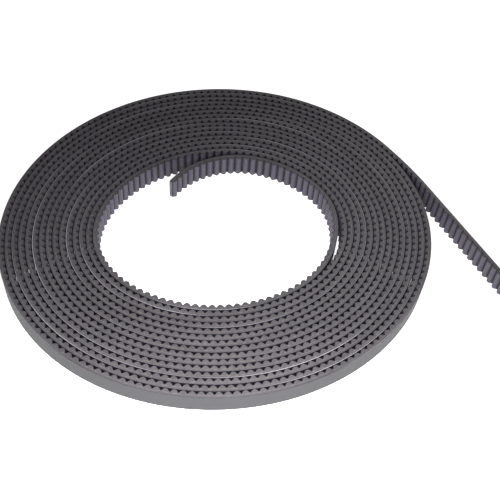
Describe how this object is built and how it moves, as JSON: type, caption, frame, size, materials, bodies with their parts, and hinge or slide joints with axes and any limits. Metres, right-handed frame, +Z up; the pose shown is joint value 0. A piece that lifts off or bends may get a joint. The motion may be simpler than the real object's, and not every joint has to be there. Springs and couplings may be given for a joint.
{
  "type": "timing belt",
  "caption": "Open-ended toothed timing belt, loosely coiled on its slit edge with the teeth facing in and both ends free.",
  "frame": {"origin": "on the surface the coil stands on, under the middle of the whole part's box", "axes": "+Z up along the belt's width, +X along the longest extent towards the outer free end, +Y away from a viewer in front of the coil"},
  "size_m": [0.1328, 0.098, 0.006],
  "materials": {
    "neoprene_rubber": "matt, ground back and slit edges",
    "glass_fibre_cord": "treated twisted glass-fibre yarn",
    "nylon_facing": "fine woven nylon, rubber-impregnated"
  },
  "bodies": {
    "coil": {"coil_backing": "neoprene_rubber", "coil_tension_cords": "glass_fibre_cord", "coil_teeth": "neoprene_rubber", "coil_tooth_facing": "nylon_facing", "inner_bend_backing": "neoprene_rubber", "inner_bend_tension_cords": "glass_fibre_cord", "inner_bend_teeth": "neoprene_rubber", "inner_bend_tooth_facing": "nylon_facing", "tail_root_bend_backing": "neoprene_rubber", "tail_root_bend_tension_cords": "glass_fibre_cord", "tail_root_bend_teeth": "neoprene_rubber", "tail_root_bend_tooth_facing": "nylon_facing"},
    "inner_end": {"inner_end_backing": "neoprene_rubber", "inner_end_tension_cords": "glass_fibre_cord", "inner_end_teeth": "neoprene_rubber", "inner_end_tooth_facing": "nylon_facing"},
    "tail_root": {"tail_root_backing": "neoprene_rubber", "tail_root_tension_cords": "glass_fibre_cord", "tail_root_teeth": "neoprene_rubber", "tail_root_tooth_facing": "nylon_facing", "tail_middle_bend_backing": "neoprene_rubber", "tail_middle_bend_tension_cords": "glass_fibre_cord", "tail_middle_bend_teeth": "neoprene_rubber", "tail_middle_bend_tooth_facing": "nylon_facing"},
    "tail_tip": {"tail_tip_backing": "neoprene_rubber", "tail_tip_tension_cords": "glass_fibre_cord", "tail_tip_teeth": "neoprene_rubber", "tail_tip_tooth_facing": "nylon_facing"}
  },
  "joints": [
    {"name": "inner_end_flex", "type": "hinge", "parent": "coil", "child": "inner_end", "pos_m": [-0.00344, 0.02334, 0.003], "axis": [0, 0, 1], "range_deg": [-3, 45], "stiffness_Nm_per_rad": 0.001, "deforming": ["inner_bend_backing", "inner_bend_tension_cords", "inner_bend_teeth", "inner_bend_tooth_facing"]},
    {"name": "tail_root_flex", "type": "hinge", "parent": "coil", "child": "tail_root", "pos_m": [0.02969, 0.03251, 0.003], "axis": [0, 0, 1], "range_deg": [0, 40], "stiffness_Nm_per_rad": 0.001, "deforming": ["tail_root_bend_backing", "tail_root_bend_tension_cords", "tail_root_bend_teeth", "tail_root_bend_tooth_facing"]},
    {"name": "tail_middle_flex", "type": "hinge", "parent": "tail_root", "child": "tail_tip", "pos_m": [0.05012, 0.00539, 0.003], "axis": [0, 0, 1], "range_deg": [-35, 40], "stiffness_Nm_per_rad": 0.001, "deforming": ["tail_middle_bend_backing", "tail_middle_bend_tension_cords", "tail_middle_bend_teeth", "tail_middle_bend_tooth_facing"]}
  ]
}
